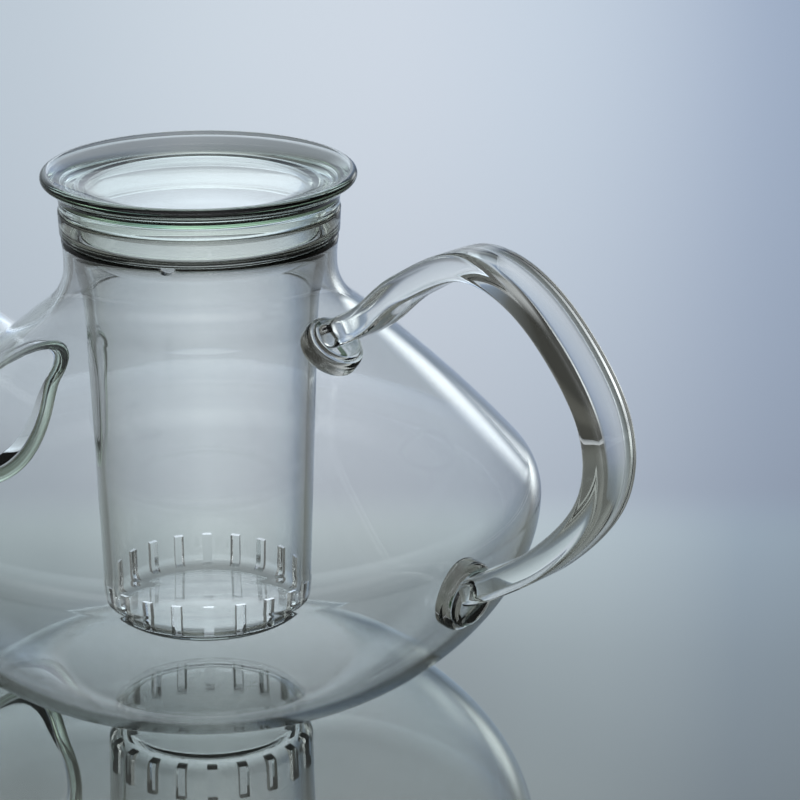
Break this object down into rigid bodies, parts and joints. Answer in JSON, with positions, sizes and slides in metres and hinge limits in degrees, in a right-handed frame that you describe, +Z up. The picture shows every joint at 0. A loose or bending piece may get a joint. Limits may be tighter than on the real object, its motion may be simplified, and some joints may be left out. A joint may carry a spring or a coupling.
{
  "type": "glass teapot",
  "caption": "Squat clear glass teapot with a strap handle, a long spout, a lift-out slotted glass infuser with a collar, and a dished glass lid.",
  "frame": {"origin": "on the table, on the axis of the pot, in the middle of the flat base", "axes": "+X towards the handle, -X towards the spout, +Z up"},
  "size_m": [0.2667, 0.1642, 0.1277],
  "materials": {
    "body_glass": "thin clear heat-proof glass, fire-polished, faint green edge",
    "seam_glass": "fused bead, looks dark green edge on",
    "handle_glass": "solid clear glass strap and feet",
    "infuser_glass": "thin clear glass tube",
    "collar_glass": "thicker clear glass collar, olive at its rims",
    "lid_glass": "clear pressed glass, green along the rim bead"
  },
  "bodies": {
    "pot": {"pot_body": "body_glass", "spout": "body_glass", "spout_seam": "seam_glass", "handle": "handle_glass", "handle_upper_foot": "handle_glass", "handle_lower_foot": "handle_glass"},
    "infuser": {"infuser_tube": "infuser_glass", "infuser_collar": "collar_glass"},
    "lid": {"lid_dish": "lid_glass", "lid_skirt": "lid_glass"}
  },
  "joints": [
    {"name": "infuser_lift", "type": "slide", "parent": "pot", "child": "infuser", "axis": [0, 0, 1], "range_m": [0, 0.12]},
    {"name": "lid_lift", "type": "slide", "parent": "infuser", "child": "lid", "axis": [0, 0, 1], "range_m": [0, 0.06]}
  ]
}
